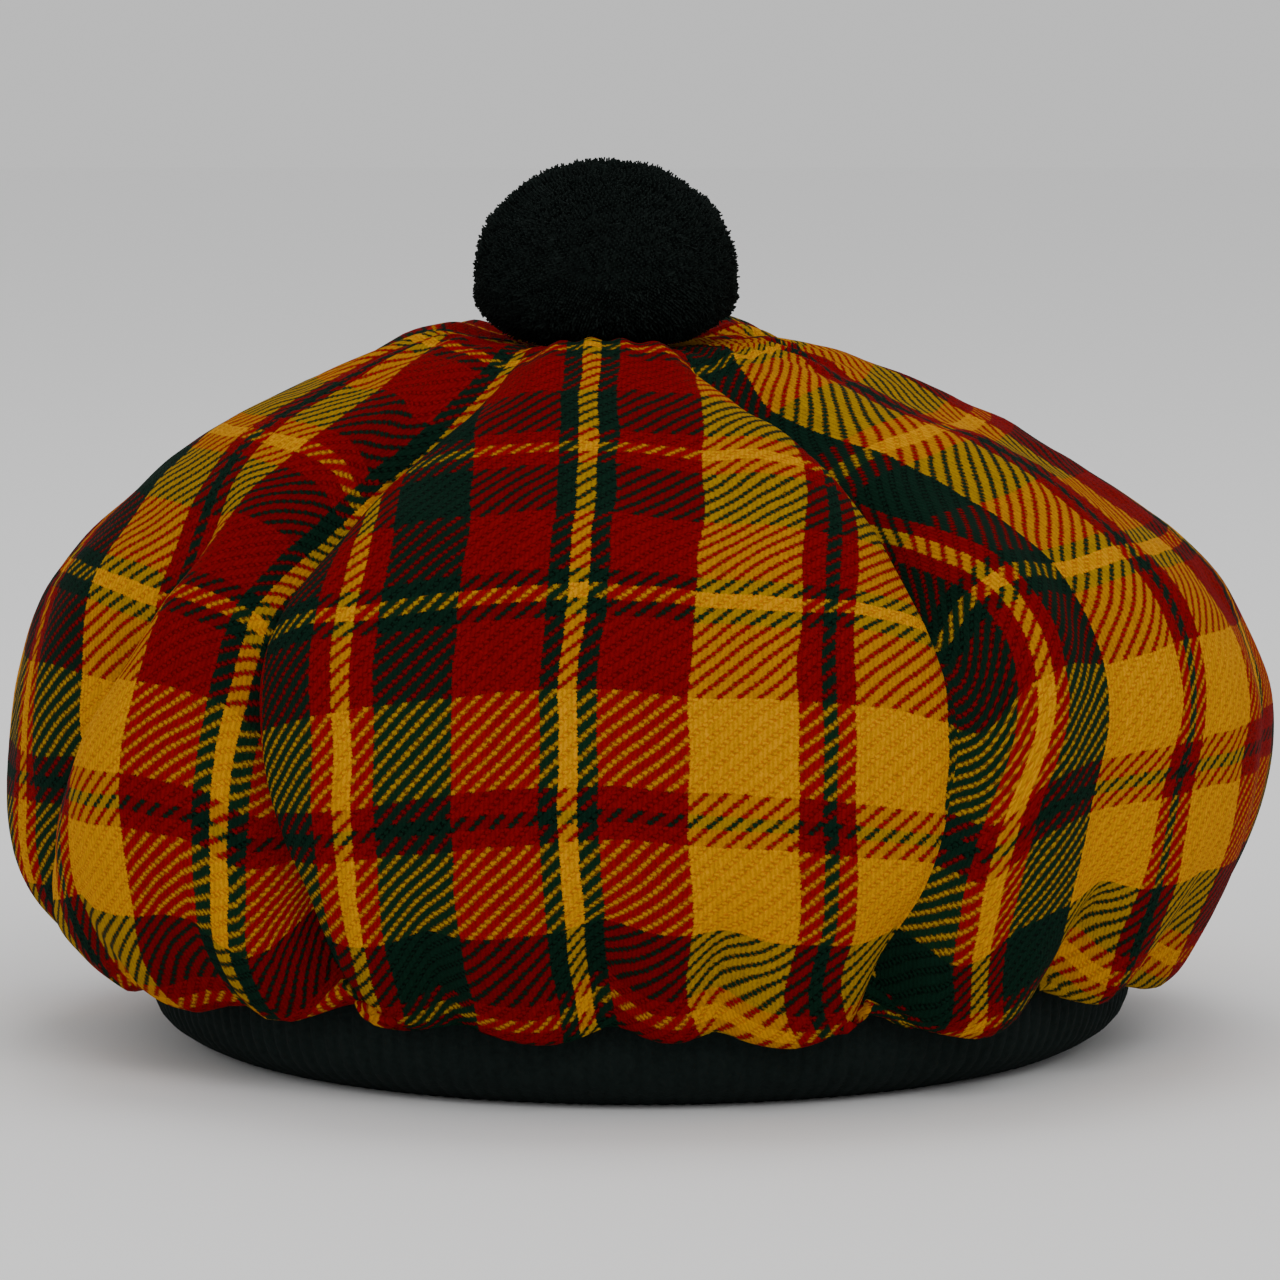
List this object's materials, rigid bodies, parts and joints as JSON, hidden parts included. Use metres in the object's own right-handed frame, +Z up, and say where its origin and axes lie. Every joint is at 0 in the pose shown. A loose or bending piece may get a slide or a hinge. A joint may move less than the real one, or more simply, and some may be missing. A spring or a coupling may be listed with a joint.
{
  "type": "tam o shanter",
  "caption": "Full gathered tartan wool bonnet on a ribbed knit headband, with a pompom on its crown and an open head hollow.",
  "frame": {"origin": "middle of the hat's box on the surface that it rests on, at the level of the band's lower edge", "axes": "+Z up through the crown, -Y towards the front, +X to the right as seen from the front"},
  "size_m": [0.2598, 0.245, 0.1801],
  "materials": {
    "tartan_wool": "brushed 2/2 twill woollen cloth in a red, golden yellow and bottle green tartan",
    "ribbed_knit": "thick ribbed wool knit, near-black bottle green, matt",
    "pompom_pile": "dense clipped wool pile, near-black bottle green"
  },
  "bodies": {
    "root": {"crown": "tartan_wool", "headband": "ribbed_knit", "toorie": "pompom_pile"}
  },
  "joints": []
}
